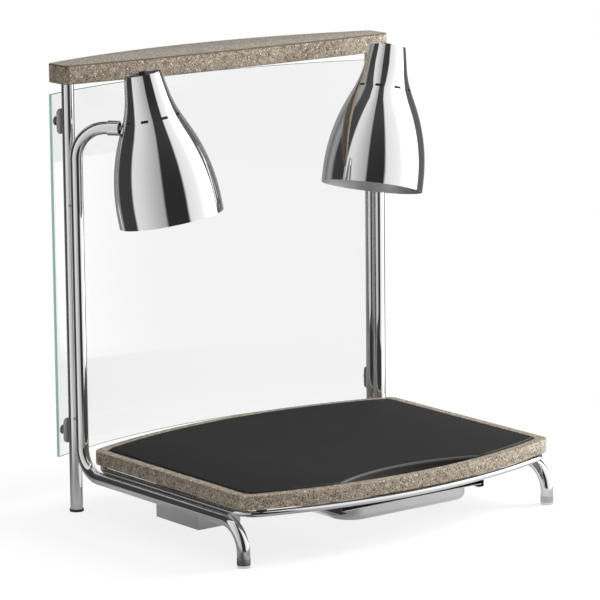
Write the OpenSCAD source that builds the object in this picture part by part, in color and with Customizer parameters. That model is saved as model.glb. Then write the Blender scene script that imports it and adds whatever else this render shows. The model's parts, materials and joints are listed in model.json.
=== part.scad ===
// Heated carving station: stone base with a lift-out board, tube frame, curved glass guard,
// stone header and two swivelling heat lamps. Millimetres, +Z up, +X right, -Y operator side.
// The origin lies on the counter, below the middle of the outline.

/* [Stone base] */
// Width of the stone base
base_width = 610; // [580:1:660]
// Depth of the stone base at its middle
base_depth = 508; // [480:1:540]
// Bow of the front and rear edges
base_bow = 56; // [46:1:62]
// Thickness of the stone base
base_thick = 22; // [20:0.5:30]
// Height of the underside of the stone base
base_bottom = 87; // [87:0.5:95]
// Corner radius of the stone base
base_corner = 20; // [16:1:26]
// Width of the rim around the board pocket
rim_width = 17.5; // [12:0.5:24]
// Depth of the board pocket
pocket_deep = 14; // [10:0.5:14]

/* [Carving board] */
// Gap between the board and the rim
board_gap = 3; // [1.5:0.5:5]
// Height of the board above the rim
board_proud = 2; // [0.5:0.5:6]
// Width of the finger notch in the front edge
notch_width = 270; // [160:5:320]
// Depth of the finger notch
notch_deep = 40; // [25:1:60]

/* [Tube frame] */
// Outer diameter of the frame tubes
tube_dia = 20; // [18:0.5:22]
// Wall of the frame tubes
tube_wall = 2; // [1.2:0.1:2.4]
// Height of the underside of the header, where the posts end
post_top = 689; // [680:1:760]
// Height of the centre line of the arms that hold the lamps
arm_height = 621.5; // [600:0.5:630]
// Plan angle of the arms, from straight forward towards the middle
arm_angle = 36.4; // [25:0.1:45]
// Length of the arms from the risers to the tube end
arm_reach = 59.4; // [56:0.1:80]
// Bend radius at the foot of the frame
lower_bend = 45; // [35:1:50]
// Bend radius at the top of the risers
upper_bend = 50; // [40:1:54]
// Diameter of the rod of the support ring
ring_rod = 9.5; // [8:0.1:9.8]
// Height of the front feet
foot_tall = 14; // [8:0.5:18]

/* [Header] */
// Overhang of the stone header beyond the post axes
header_overhang = 20; // [14:0.5:40]
// Thickness of the stone header
header_thick = 30; // [24:1:40]
// Bow of the front edge of the header
header_front_bow = 12; // [6:1:20]
// Bow of the rear edge of the header
header_rear_bow = 56; // [50:1:60]

/* [Glass guard] */
// Thickness of the glass
glass_thick = 5; // [4:0.5:8]
// Radius of the inner face of the glass
glass_radius = 890; // [800:5:1000]
// Height of the lower edge of the glass
glass_bottom = 89; // [80:1:100]
// Height of the upper edge of the glass
glass_top = 671; // [660:1:676]
// Height of the upper studs
stud_high = 627.5; // [600:0.5:640]
// Height of the lower studs
stud_low = 131; // [131:0.5:160]
// Length of the grip of the hand knobs
knob_long = 40; // [28:1:44]
// Width of the grip of the hand knobs
knob_wide = 20; // [16:1:26]

/* [Lamps] */
// Diameter of the shade at its rim
shade_dia = 165; // [150:1:170]
// Length of the shade
shade_long = 231; // [225:1:240]
// Wall of the shade
shade_wall = 1.2; // [0.8:0.1:1.4]
// Slope of the shoulder of the shade
shade_slope = 24.5; // [23:0.1:25]
// Tilt of the left lamp, upper end towards its post
left_tilt = 10.24; // [6:0.01:20]
// Tilt of the right lamp, upper end towards its post
right_tilt = 14.23; // [6:0.01:20]
// Roll of the left lamp about its arm
left_roll = 1.78; // [-10:0.01:10]
// Roll of the right lamp about its arm
right_roll = -7.6; // [-10:0.01:10]
// Diameter of the bulb
bulb_dia = 124; // [110:1:127]

/* [Drip pan] */
// Width of the body of the pan
pan_width = 258; // [220:1:266]
// Length of the pan with its flange
pan_long = 280; // [240:1:300]
// Depth of the pan
pan_deep = 23.5; // [18:0.5:30]
// Front of the pan, from the origin
pan_front = -270; // [-274:1:-262]

/* [Control box] */
// Width of the control box
box_width = 80; // [70:1:82]
// Length of the control box
box_long = 111; // [105:1:130]
// Height of the control box
box_tall = 59; // [57:1:64]
// Radius of the thermostat knob
dial_r = 15; // [12:0.5:17]

/* [Clearances] */
// Radial clearance of turning and sliding pins
run_fit = 0.05; // [0.03:0.01:0.08]
// Gap between faces that move past each other
face_gap = 0.35; // [0.32:0.01:0.5]

/* [Hidden] */
$fn = 64;
fine = 300;
tube_r = tube_dia / 2;
bore_r = tube_r - tube_wall;
seam = 0.2;
// outline of the base
base_cy = -39;
base_hw = base_width / 2;
base_front = base_cy - base_depth / 2;
base_rear = base_cy + base_depth / 2;
base_R = (base_hw * base_hw + base_bow * base_bow) / (2 * base_bow);
base_top = base_bottom + base_thick;
pocket_z = base_top - pocket_deep;
board_inset = rim_width + board_gap;
board_rest = 0.2;
board_z = pocket_z + board_rest;
pocket_corner = 12;
board_corner = 10;
// frame
tube_x = base_hw - 2;
post_y = base_rear - 3.5;
riser_y = post_y - tube_dia - 0.1;
leg_y = base_front + base_bow + 2.5;
ring_r = ring_rod / 2;
ring_inset = 5.5;
pad_thick = 2.65;
ring_z = base_bottom - pad_thick - ring_r;
runner_z = ring_z - sqrt(pow(tube_r + ring_r + 0.05, 2) - pow(tube_x - base_hw + ring_inset, 2));
front_cy = base_front + base_R;
rear_cy = base_rear - base_R;
ring_corner = 40;
ring_cx = base_hw - ring_inset - ring_corner;
ring_dy = sqrt(pow(base_R - ring_inset - ring_corner, 2) - ring_cx * ring_cx);
ring_ang = atan2(ring_dy, ring_cx);
pad_r = 8.5;
pad_turn = 70;
rear_foot = 4;
foot_plug = 18;
foot_wall = 1.35;
ferrule_wall = 0.4;
rivet_high = 496;
rivet_low_left = 153;
rivet_low_right = 187;
rivet_r = 2.4;
rivet_turn = 55;
plug_long = 20;
anchor_r = 4;
// header
header_hl = tube_x + header_overhang;
header_front = post_y - 36;
header_rear = -base_front;
header_Rf = (header_hl * header_hl + header_front_bow * header_front_bow) / (2 * header_front_bow);
header_Rr = (header_hl * header_hl + header_rear_bow * header_rear_bow) / (2 * header_rear_bow);
header_corner = 10;
// glass
glass_gap = 20;
stud_ang = asin(tube_x / (glass_radius - glass_gap));
glass_cy = post_y - sqrt(pow(glass_radius - glass_gap, 2) - tube_x * tube_x);
glass_end = 16;
glass_ang = stud_ang + glass_end / glass_radius * 180 / PI;
stud_r = 3;
washer_t = 2.4;
// heater tray under the base
tray_inset = 40;
tray_front = base_front + tray_inset;
tray_rear = base_rear - tray_inset;
tray_tall = 11;
tray_wall = 1.2;
tray_flange = 12;
tray_notch = 12;
screw_head = 4;
screw_bite = 6;
tray_gap = 7;
tray_z = base_bottom - tray_tall;
screw_r = 2;
mat_inset = 6;
heater_t = 1.5;
// pan and its channels
pan_wall = 1.2;
pan_hw = pan_width / 2;
pan_lip = 10.5;
flange_hw = pan_hw + pan_lip;
chan_tall = 15;
chan_wall = 1.2;
chan_in = pan_hw + 2.5;
chan_out = flange_hw + 1.3 + chan_wall;
chan_z = tray_z - chan_tall;
chan_front = pan_front + 2;
chan_rear = pan_front + pan_long + 12;
pan_top = chan_z + 6;
pan_r = 40;
pan_edge = 9;
pan_rim = 8;
flange_corner = 6;
flange_roll = pan_top - chan_z - chan_wall - 0.2;
// control box
box_x0 = -base_hw + 16;
box_x1 = box_x0 + box_width;
box_y1 = base_cy + 49.5;
box_y0 = box_y1 - box_long;
box_z0 = base_bottom - box_tall;
box_wall = 1.5;
lid_x = box_x1 - box_wall;
tray_hw = -box_x1 - tray_flange - tray_gap;
dial_y = box_y0 + 32;
dial_z = box_z0 + 27;
dial_shaft = 3;
switch_y = box_y1 - 24;
switch_z = box_z0 + 24;
rocker_r = 8.5;
rocker_w = 10;
rocker_x = lid_x - 1.5;
rocker_rest = 10;
pilot_y = (dial_y + switch_y) / 2 + 4;
pilot_z = box_z0 + 44;
inlet_x = (box_x0 + box_x1) / 2;
inlet_z = box_z0 + 30;
// lamp joint
collar_r = 11.8;
collar_end = arm_reach + 13.1;
collar_lap = 5;
cavity_r = 9.3;
journal_r = 4;
spigot_long = 14;
pin_u = arm_reach + 8.6;
pin_r = 2;
tongue_t = 6;
ear_t = 3.6;
stem_r = 2.5;
nut_r = 4.6;
// shade outline: straight rim, convex shoulder, straight cone, hollow neck, tapering top
shade_r = shade_dia / 2;
rim_long = 18;
dome_R = 290;
cone_long = 22;
neck_R = 165;
top_slope = 9.5;
cone_r = shade_r - dome_R * (1 - cos(shade_slope));
cone_s = rim_long + dome_R * sin(shade_slope);
neck_r0 = cone_r - cone_long * sin(shade_slope);
neck_s0 = cone_s + cone_long * cos(shade_slope);
neck_r1 = neck_r0 - neck_R * (cos(top_slope) - cos(shade_slope));
neck_s1 = neck_s0 + neck_R * (sin(shade_slope) - sin(top_slope));
top_r = neck_r1 - (shade_long - neck_s1) * tan(top_slope);
function dome_pts(n) = [for (i = [0:n]) let (a = shade_slope * i / n)
    [shade_r - dome_R * (1 - cos(a)), rim_long + dome_R * sin(a)]];
function neck_pts(n) = [for (i = [0:n]) let (a = shade_slope + (top_slope - shade_slope) * i / n)
    [neck_r0 - neck_R * (cos(a) - cos(shade_slope)), neck_s0 + neck_R * (sin(shade_slope) - sin(a))]];
shade_side = concat([[shade_r, 0]], dome_pts(10), neck_pts(6), [[top_r, shade_long]]);
pin_on_cone = 15.2;
lamp_standoff = 10.15;
pin_s = cone_s + pin_on_cone;
cone_wall_r = cone_r - pin_on_cone * tan(shade_slope);
lamp_out = cone_wall_r + lamp_standoff;
vent_s = neck_s0 + 3.2;
vent_r = neck_r0 - (vent_s - neck_s0) * tan(shade_slope);
vent_wide = 12;
left_vents = 35;
right_vents = 28;
cap_s = shade_long - 4.5;
cap_r = top_r + 1.5 * tan(top_slope) - shade_wall - 0.1;
cap_t = 3;
button_r = 6;
button_drop = 2.5;
bulb_s = 28;
bulb_r = bulb_dia / 2;
bulb_long = 158;
socket_r = 19;
socket_s0 = bulb_s + bulb_long - 32;
socket_s1 = cap_s - 18;

stone = [0.45, 0.42, 0.39];
black = [0.12, 0.12, 0.13];
steel = [0.75, 0.75, 0.77];
chrome = [0.86, 0.87, 0.89];
grey = [0.35, 0.35, 0.37];

// one rounded corner, cut away between a straight side and a bowed edge
module corner_cut(s, hw, ey, ecy, R, rc, dir) {
    cx = hw - rc;
    cy = ecy + dir * sqrt(pow(R - rc, 2) - cx * cx);
    tx = cx * R / (R - rc);
    ty = ecy + (cy - ecy) * R / (R - rc);
    difference() {
        polygon([[s * cx, cy], [s * (hw + 3), cy], [s * (hw + 3), ty + dir * 12],
            [s * (tx + (tx - cx) * 3 / rc), ty + (ty - cy) * 3 / rc]]);
        translate([s * cx, cy]) circle(r = rc);
    }
}

// plate outline with straight sides and bowed front and rear edges
module bowed_outline(hw, yf, yr, Rf, Rr, rc) {
    difference() {
        intersection() {
            translate([-hw, yf - 1]) square([2 * hw, yr - yf + 2]);
            translate([0, yf + Rf]) circle(r = Rf, $fn = fine * 2);
            translate([0, yr - Rr]) circle(r = Rr, $fn = fine * 2);
        }
        for (s = [-1, 1]) {
            corner_cut(s, hw, yf, yf + Rf, Rf, rc, -1);
            corner_cut(s, hw, yr, yr - Rr, Rr, rc, 1);
        }
    }
}

module base_outline(inset, rc) {
    bowed_outline(base_hw - inset, base_front + inset, base_rear - inset, base_R - inset, base_R - inset, rc);
}

module tube_run(l) {
    difference() {
        cylinder(r = tube_r, h = l);
        translate([0, 0, -1]) cylinder(r = bore_r, h = l + 2);
    }
}

module tube_bend(R) {
    rotate_extrude(angle = 90) translate([R, 0]) difference() {
        circle(r = tube_r);
        circle(r = bore_r);
    }
}

// frame of an arm: X along the arm from the riser, Z up
module arm_frame(s) {
    translate([s * tube_x, riser_y, arm_height]) rotate([0, 0, -90 - s * arm_angle]) children();
}

module swivel_frame(s) {
    arm_frame(s) rotate([s < 0 ? left_roll : right_roll, 0, 0]) children();
}

// frame of a lamp: Z along the lamp axis, zero at the rim
module lamp_frame(s) {
    swivel_frame(s) translate([pin_u, 0, 0]) rotate([0, s < 0 ? -left_tilt : -right_tilt, 0])
        translate([lamp_out, 0, -pin_s]) children();
}

// frame of a stud: Z outward through the glass, zero at the post axis
module stud_frame(s, z) {
    translate([0, glass_cy, z]) rotate([0, 0, -s * stud_ang])
        translate([0, glass_radius - glass_gap, 0]) rotate([-90, 0, 0]) children();
}

// frame of a rivet: Z outward from the post axis
module rivet_frame(s, z) {
    translate([s * tube_x, post_y, z]) rotate([0, 0, s < 0 ? 180 + rivet_turn : -rivet_turn])
        rotate([0, 90, 0]) children();
}

module stone_base() {
    color(stone) difference() {
        translate([0, 0, base_bottom]) linear_extrude(base_thick) base_outline(0, base_corner);
        translate([0, 0, pocket_z]) linear_extrude(pocket_deep + 1) base_outline(rim_width, pocket_corner);
        for (p = tray_screws) translate([p[0], p[1], base_bottom - tray_wall]) cylinder(r = screw_r, h = screw_bite);
    }
}

module carving_board() {
    ye = base_front + board_inset + base_R - board_inset
        - sqrt(pow(base_R - board_inset, 2) - notch_width * notch_width / 4);
    yn = base_front + board_inset + notch_deep;
    sag = yn - ye;
    nR = (notch_width * notch_width / 4 + sag * sag) / (2 * sag);
    color(black) translate([0, 0, board_z])
        linear_extrude(base_top + board_proud - board_z) difference() {
            base_outline(board_inset, board_corner);
            translate([0, yn - nR]) circle(r = nR, $fn = fine);
        }
}

module heater_mat() {
    color([0.7, 0.35, 0.2]) translate([-tray_hw + 2 * mat_inset, tray_front + 2 * mat_inset, base_bottom - heater_t])
        cube([2 * tray_hw - 4 * mat_inset, tray_rear - tray_front - 4 * mat_inset, heater_t]);
}

module insulation_mat() {
    color([0.85, 0.8, 0.6]) translate([-tray_hw + mat_inset, tray_front + mat_inset, tray_z + tray_wall])
        cube([2 * (tray_hw - mat_inset), tray_rear - tray_front - 2 * mat_inset, tray_tall - tray_wall - heater_t]);
}

tray_screws = [for (s = [-1, 1]) for (k = [-1, 0, 1])
    [s * (tray_hw + tray_flange / 2), (tray_front + tray_rear) / 2 + k * 0.4 * (tray_rear - tray_front)]];

module base_cover() {
    color(steel) difference() {
        union() {
            translate([-tray_hw, tray_front, tray_z]) cube([2 * tray_hw, tray_rear - tray_front, tray_tall]);
            translate([-tray_hw - tray_flange, tray_front + tray_notch, base_bottom - tray_wall])
                cube([2 * (tray_hw + tray_flange), tray_rear - tray_front - 2 * tray_notch, tray_wall]);
        }
        translate([-tray_hw + tray_wall, tray_front + tray_wall, tray_z + tray_wall])
            cube([2 * (tray_hw - tray_wall), tray_rear - tray_front - 2 * tray_wall, tray_tall]);
        for (p = tray_screws) translate([p[0], p[1], tray_z]) cylinder(r = screw_r, h = 2 * tray_tall);
    }
}

module cover_screws() {
    color(steel) for (p = tray_screws) translate([p[0], p[1], 0]) {
        translate([0, 0, base_bottom - tray_wall]) cylinder(r = screw_r, h = screw_bite);
        translate([0, 0, base_bottom - tray_wall - screw_r]) cylinder(r = screw_head, h = screw_r);
    }
}

module rod_bend(c, R, a0, a1) {
    translate([c[0], c[1], ring_z]) rotate([0, 0, a0]) rotate_extrude(angle = a1 - a0, $fn = fine)
        translate([R, 0]) circle(r = ring_r, $fn = 32);
}

// short sleeve over the seam between two lengths of rod, along the plan direction a
module rod_seam(c, R, a) {
    translate([c[0] + R * cos(a), c[1] + R * sin(a), ring_z]) rotate([0, 0, a]) rotate([90, 0, 0])
        cylinder(r = ring_r + 0.05, h = 1.2, center = true, $fn = 32);
}

module support_ring() {
    rc = ring_corner;
    yf = front_cy - ring_dy;
    yr = rear_cy + ring_dy;
    color(chrome) union() {
        rod_bend([0, front_cy], base_R - ring_inset, -180 + ring_ang, -ring_ang);
        rod_bend([0, rear_cy], base_R - ring_inset, ring_ang, 180 - ring_ang);
        rod_bend([ring_cx, yf], rc, -ring_ang, 0);
        rod_bend([ring_cx, yr], rc, 0, ring_ang);
        rod_bend([-ring_cx, yr], rc, 180 - ring_ang, 180);
        rod_bend([-ring_cx, yf], rc, 180, 180 + ring_ang);
        for (s = [-1, 1]) translate([s * (base_hw - ring_inset), yf, ring_z])
            rotate([-90, 0, 0]) cylinder(r = ring_r, h = yr - yf, $fn = 32);
        for (s = [-1, 1]) for (e = [-1, 1]) {
            rod_seam([s * ring_cx, e < 0 ? yf : yr], rc, s < 0 ? 180 : 0);
            rod_seam([s * ring_cx, e < 0 ? yf : yr], rc, e * (s > 0 ? ring_ang : 180 - ring_ang));
        }
    }
}

module slab_pads() {
    color(black) for (s = [-1, 1]) for (e = [-1, 1])
        translate([s * ring_cx, e < 0 ? front_cy - ring_dy : rear_cy + ring_dy, base_bottom - pad_thick])
            rotate([0, 0, s * e * pad_turn + (s < 0 ? 180 : 0)])
                translate([ring_corner - 4, 0, 0]) cylinder(r = pad_r, h = pad_thick);
}

// short sleeve over the seam between two lengths of tube
module tube_seam() {
    rotate([0, 0, 37]) difference() {
        cylinder(r = tube_r + 0.05, h = 1.6, center = true);
        cylinder(r = bore_r + 0.6, h = 2, center = true);
    }
}

// straight length between two seams
module seamed_run(l) {
    translate([0, 0, seam]) rotate([0, 0, 20]) tube_run(l - 2 * seam);
}

module side_tube(s) {
    color(chrome) union() {
        translate([s * tube_x, leg_y, foot_tall]) rotate([0, 0, 20])
            tube_run(runner_z - lower_bend - foot_tall - seam);
        translate([s * tube_x, leg_y, runner_z - lower_bend]) tube_seam();
        translate([s * tube_x, leg_y + lower_bend, runner_z - lower_bend])
            rotate([90, 0, 90]) rotate([0, 0, 90]) tube_bend(lower_bend);
        translate([s * tube_x, leg_y + lower_bend, runner_z]) rotate([-90, 0, 0]) tube_seam();
        translate([s * tube_x, leg_y + lower_bend, runner_z])
            rotate([-90, 0, 0]) seamed_run(riser_y - leg_y - 2 * lower_bend);
        translate([s * tube_x, riser_y - lower_bend, runner_z]) rotate([-90, 0, 0]) tube_seam();
        translate([s * tube_x, riser_y - lower_bend, runner_z + lower_bend])
            rotate([90, 0, 90]) rotate([0, 0, -90]) tube_bend(lower_bend);
        translate([s * tube_x, riser_y, runner_z + lower_bend]) tube_seam();
        translate([s * tube_x, riser_y, runner_z + lower_bend])
            seamed_run(arm_height - upper_bend - runner_z - lower_bend);
        arm_frame(s) translate([0, 0, -upper_bend]) tube_seam();
        arm_frame(s) translate([upper_bend, 0, -upper_bend]) rotate([90, 0, 0]) rotate([0, 0, 90])
            tube_bend(upper_bend);
        arm_frame(s) translate([upper_bend, 0, 0]) rotate([0, 90, 0]) tube_seam();
        arm_frame(s) translate([upper_bend + seam, 0, 0]) rotate([0, 90, 0]) rotate([0, 0, 20])
            tube_run(arm_reach - upper_bend - seam);
    }
}

module post(s) {
    color(chrome) difference() {
        translate([s * tube_x, post_y, rear_foot]) tube_run(post_top - rear_foot);
        for (z = [stud_low, stud_high]) stud_frame(s, z) translate([0, 0, 4]) cylinder(r = stud_r, h = 10);
        for (z = [rivet_high, s < 0 ? rivet_low_left : rivet_low_right])
            rivet_frame(s, z) translate([0, 0, 4]) cylinder(r = 1.6, h = 10);
    }
}

module left_post() { post(-1); }
module right_post() { post(1); }
module left_side_tube() { side_tube(-1); }
module right_side_tube() { side_tube(1); }

module rear_feet() {
    color(black) for (s = [-1, 1]) translate([s * tube_x, post_y, 0]) {
        cylinder(r = tube_r + foot_wall, h = rear_foot);
        cylinder(r = bore_r, h = rear_foot + foot_plug);
    }
}

module front_feet() {
    color(steel) for (s = [-1, 1]) translate([s * tube_x, leg_y, 0]) {
        cylinder(r = tube_r + ferrule_wall, h = foot_tall);
        cylinder(r = bore_r, h = runner_z - lower_bend);
    }
}

module post_rivets() {
    color(steel) for (s = [-1, 1]) for (z = [rivet_high, s < 0 ? rivet_low_left : rivet_low_right])
        rivet_frame(s, z) {
            translate([0, 0, bore_r - 3]) cylinder(r = 1.6, h = tube_wall + 4);
            difference() {
                translate([0, 0, tube_r - 0.6]) cylinder(r = rivet_r, h = 2);
                rotate([0, 90, 0]) cylinder(r = tube_r, h = 20, center = true);
            }
        }
}

module post_top_plugs() {
    color(steel) for (s = [-1, 1]) translate([s * tube_x, post_y, post_top - plug_long]) {
        cylinder(r = bore_r, h = plug_long);
        cylinder(r = anchor_r, h = plug_long + 16);
    }
}

module stone_header() {
    color(stone) difference() {
        translate([0, 0, post_top]) linear_extrude(header_thick)
            bowed_outline(header_hl, header_front, header_rear, header_Rf, header_Rr, header_corner);
        for (s = [-1, 1]) translate([s * tube_x, post_y, post_top - 1]) cylinder(r = anchor_r, h = 17);
    }
}

module glass_guard() {
    far = glass_radius * 1.2;
    color([0.7, 0.85, 0.82, 0.35]) difference() {
        translate([0, glass_cy, glass_bottom]) linear_extrude(glass_top - glass_bottom) intersection() {
            difference() {
                circle(r = glass_radius + glass_thick, $fn = fine * 2);
                circle(r = glass_radius, $fn = fine * 2);
            }
            polygon([[0, 0], [-far * tan(glass_ang), far], [far * tan(glass_ang), far]]);
        }
        for (s = [-1, 1]) for (z = [stud_low, stud_high]) stud_frame(s, z)
            translate([0, 0, glass_gap - 2]) cylinder(r = stud_r + 0.5, h = glass_thick + 4);
    }
}

module glass_bolts() {
    color(steel) for (s = [-1, 1]) for (z = [stud_low, stud_high]) stud_frame(s, z) {
        translate([0, 0, bore_r - 3]) cylinder(r = stud_r, h = glass_gap + glass_thick + washer_t + 4 - bore_r);
        translate([0, 0, glass_gap + glass_thick + washer_t + 0.05]) cylinder(r = 5, h = 1.5);
    }
}

module glass_washers() {
    color(grey) for (s = [-1, 1]) for (z = [stud_low, stud_high]) stud_frame(s, z)
        translate([0, 0, glass_gap + glass_thick + 0.05]) difference() {
            cylinder(r = 7.2, h = washer_t);
            translate([0, 0, -1]) cylinder(r = stud_r, h = washer_t + 2);
        }
}

module hand_knob(s, z) {
    color(grey) stud_frame(s, z) difference() {
        union() {
            translate([0, -knob_long / 2, tube_r + 1]) linear_extrude(5.5)
                round_rect(knob_wide / 2, knob_long, 0.4 * knob_wide);
            translate([0, 0, tube_r + 6]) cylinder(r = 7, h = glass_gap - face_gap - tube_r - 6);
        }
        cylinder(r = stud_r + run_fit, h = 40);
    }
}

module upper_left_knob() { hand_knob(-1, stud_high); }
module upper_right_knob() { hand_knob(1, stud_high); }
module lower_left_knob() { hand_knob(-1, stud_low); }
module lower_right_knob() { hand_knob(1, stud_low); }

module channel(s) {
    color(steel) translate([0, chan_front, chan_z]) mirror([s < 0 ? 1 : 0, 0, 0]) union() {
        translate([chan_out - chan_wall, 0, 0]) cube([chan_wall, chan_rear - chan_front, chan_tall]);
        translate([chan_in, 0, 0]) cube([chan_out - chan_in, chan_rear - chan_front, chan_wall]);
        translate([chan_in, 0, chan_tall - chan_wall])
            cube([chan_out - chan_in, chan_rear - chan_front, chan_wall]);
        translate([chan_in, chan_rear - chan_front - chan_wall, 0])
            cube([chan_out - chan_in, chan_wall, chan_tall]);
    }
}

module left_channel() { channel(-1); }
module right_channel() { channel(1); }

module round_rect(hw, l, r) {
    difference() {
        translate([-hw, 0]) square([2 * hw, l]);
        for (s = [-1, 1]) for (e = [-1, 1]) translate([s * (hw - r), l / 2 + e * (l / 2 - r)]) difference() {
            translate([s > 0 ? 0 : -r - 1, e > 0 ? 0 : -r - 1]) square(r + 1);
            circle(r = r);
        }
    }
}

// upright section from a wall at x = w back to x = 0, with a rounded lower edge
module edge_section(w, h, e) {
    difference() {
        square([w, h]);
        translate([w - e, 0]) difference() {
            translate([0, -1]) square([e + 1, e + 1]);
            translate([0, e]) circle(r = e);
        }
    }
}

// block with rounded plan corners and a rounded lower edge
module tub(hw, l, h, r, e) {
    for (s = [-1, 1]) mirror([s < 0 ? 1 : 0, 0, 0]) {
        translate([0, l - r, 0]) rotate([90, 0, 0]) linear_extrude(l - 2 * r) edge_section(hw, h, e);
        translate([hw - r, l - r, 0]) rotate_extrude(angle = 90) edge_section(r, h, e);
        translate([hw - r, r, 0]) rotate([0, 0, -90]) rotate_extrude(angle = 90) edge_section(r, h, e);
    }
    translate([-hw + r, l - r, 0]) rotate([90, 0, 90]) linear_extrude(2 * (hw - r)) edge_section(r, h, e);
    translate([hw - r, r, 0]) rotate([90, 0, -90]) linear_extrude(2 * (hw - r)) edge_section(r, h, e);
}

module drip_pan() {
    rim = pan_rim;
    color(steel) translate([0, pan_front, pan_top - pan_deep]) difference() {
        union() {
            translate([0, rim, 0]) tub(pan_hw, pan_long - 2 * rim, pan_deep, pan_r, pan_edge);
            translate([0, 0, pan_deep - pan_wall]) linear_extrude(pan_wall) round_rect(flange_hw, pan_long, flange_corner);
            for (s = [-1, 1]) translate([s * (flange_hw - pan_wall / 2) - pan_wall / 2, flange_corner, pan_deep - flange_roll])
                cube([pan_wall, pan_long - 2 * flange_corner, flange_roll]);
        }
        translate([0, rim + pan_wall, pan_wall])
            tub(pan_hw - pan_wall, pan_long - 2 * rim - 2 * pan_wall, pan_deep + 2, pan_r - pan_wall, pan_edge - pan_wall);
    }
}

module control_box() {
    color(steel) difference() {
        translate([box_x0, box_y0, box_z0]) cube([box_width - box_wall, box_long, box_tall]);
        translate([box_x0 + box_wall, box_y0 + box_wall, box_z0 + box_wall])
            cube([box_width, box_long - 2 * box_wall, box_tall - 2 * box_wall]);
        translate([inlet_x - 12, box_y1 - 5, inlet_z - 9]) cube([24, 10, 18]);
    }
}

lid_screws = [for (y = [box_y0 + 6, box_y1 - 6]) for (z = [box_z0 + 6, box_z0 + box_tall - 6]) [y, z]];

module control_box_lid() {
    color(steel) difference() {
        translate([lid_x, box_y0, box_z0]) cube([box_wall, box_long, box_tall]);
        translate([lid_x - 1, dial_y, dial_z]) rotate([0, 90, 0]) cylinder(r = dial_shaft + run_fit, h = 5);
        translate([lid_x - 1, pilot_y, pilot_z]) rotate([0, 90, 0]) cylinder(r = 3, h = 5);
        translate([lid_x - 1, switch_y - 7, switch_z - 11]) cube([5, 14, 22]);
        for (p = lid_screws) translate([lid_x - 1, p[0], p[1]]) rotate([0, 90, 0]) cylinder(r = 1.5, h = 5);
    }
    color(steel) for (p = lid_screws) translate([lid_x - 6, p[0], p[1]]) rotate([0, 90, 0]) difference() {
        cylinder(r = 3, h = 6);
        translate([0, 0, -1]) cylinder(r = 1.5, h = 8);
    }
}

module box_screws() {
    color(steel) for (p = lid_screws) translate([lid_x - 5, p[0], p[1]]) rotate([0, 90, 0]) {
        cylinder(r = 1.5, h = 5 + box_wall);
        translate([0, 0, 5 + box_wall]) cylinder(r = 3, h = 1.5);
    }
}

module thermostat() {
    color(grey) difference() {
        translate([lid_x - 26, dial_y - 16, dial_z - 16]) cube([26, 32, 32]);
        translate([lid_x - 15, dial_y, dial_z]) rotate([0, 90, 0]) cylinder(r = dial_shaft + 0.4, h = 20);
    }
}

module thermostat_knob() {
    color(black) translate([0, dial_y, dial_z]) rotate([0, 90, 0]) {
        translate([0, 0, lid_x - 13]) cylinder(r = dial_shaft, h = box_wall + 14);
        translate([0, 0, box_x1 + face_gap]) difference() {
            union() {
                cylinder(r = dial_r, h = 4);
                cylinder(r = dial_r - 2, h = 15);
            }
            for (s = [-1, 1]) translate([-dial_r, s * (dial_r + 4) - dial_r, 6]) cube([2 * dial_r, 2 * dial_r, 12]);
            translate([-dial_r - 1, -0.8, 14]) cube([dial_r, 1.6, 3]);
        }
    }
}

module switch_housing() {
    color(black) difference() {
        union() {
            translate([lid_x - 18, switch_y - 7, switch_z - 11]) cube([18 + box_wall, 14, 22]);
            translate([box_x1, switch_y - 9, switch_z - 13]) cube([1.5, 18, 26]);
        }
        translate([rocker_x, switch_y + rocker_w / 2 + face_gap, switch_z]) rotate([90, 0, 0])
            cylinder(r = rocker_r + face_gap, h = rocker_w + 2 * face_gap);
        translate([rocker_x, switch_y - rocker_w / 2 - face_gap, switch_z - rocker_r - face_gap])
            cube([10, rocker_w + 2 * face_gap, 2 * (rocker_r + face_gap)]);
        for (s = [-1, 1]) translate([rocker_x, switch_y + s * 5.7, switch_z]) rotate([90, 0, 0])
            cylinder(r = 1 + run_fit, h = 1.6, center = true);
    }
}

module rocker_switch() {
    color(black) translate([rocker_x, switch_y, switch_z]) rotate([0, rocker_rest, 0]) union() {
        rotate([90, 0, 0]) linear_extrude(rocker_w, center = true) intersection() {
            circle(r = rocker_r);
            polygon([[-9, -9], [2.5, -9], [6.4, -7.4], [4.4, 0], [6.4, 7.4], [2.5, 9], [-9, 9]]);
        }
        rotate([90, 0, 0]) cylinder(r = 1, h = rocker_w + 1.8, center = true);
    }
}

module pilot_light() {
    color([0.9, 0.45, 0.1]) translate([0, pilot_y, pilot_z]) rotate([0, 90, 0]) {
        translate([0, 0, lid_x - 12]) cylinder(r = 3, h = 12 + box_wall);
        translate([0, 0, box_x1]) cylinder(r = 4.5, h = 1);
        translate([0, 0, box_x1 + 1]) cylinder(r = 3.4, h = 2);
    }
}

module power_inlet() {
    color(black) translate([inlet_x, 0, inlet_z]) {
        difference() {
            union() {
                translate([-16, box_y1, -12]) cube([32, 2.5, 24]);
                translate([-12, box_y1 - 18, -9]) cube([24, 18, 18]);
            }
            translate([-10.5, box_y1 - 13, -7.5]) cube([21, 20, 15]);
        }
        for (x = [-6, 0, 6]) translate([x - 1, box_y1 - 14, x == 0 ? 1 : -4]) cube([2, 11, 3.5]);
    }
}

module terminal_block() {
    color([0.85, 0.85, 0.8]) translate([box_x0 + box_wall, box_y0 + 14, box_z0 + 12]) difference() {
        cube([14, 40, 20]);
        for (k = [0:2]) translate([8, 8 + k * 12, 10]) rotate([0, 90, 0]) cylinder(r = 2.5, h = 10);
    }
}

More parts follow.
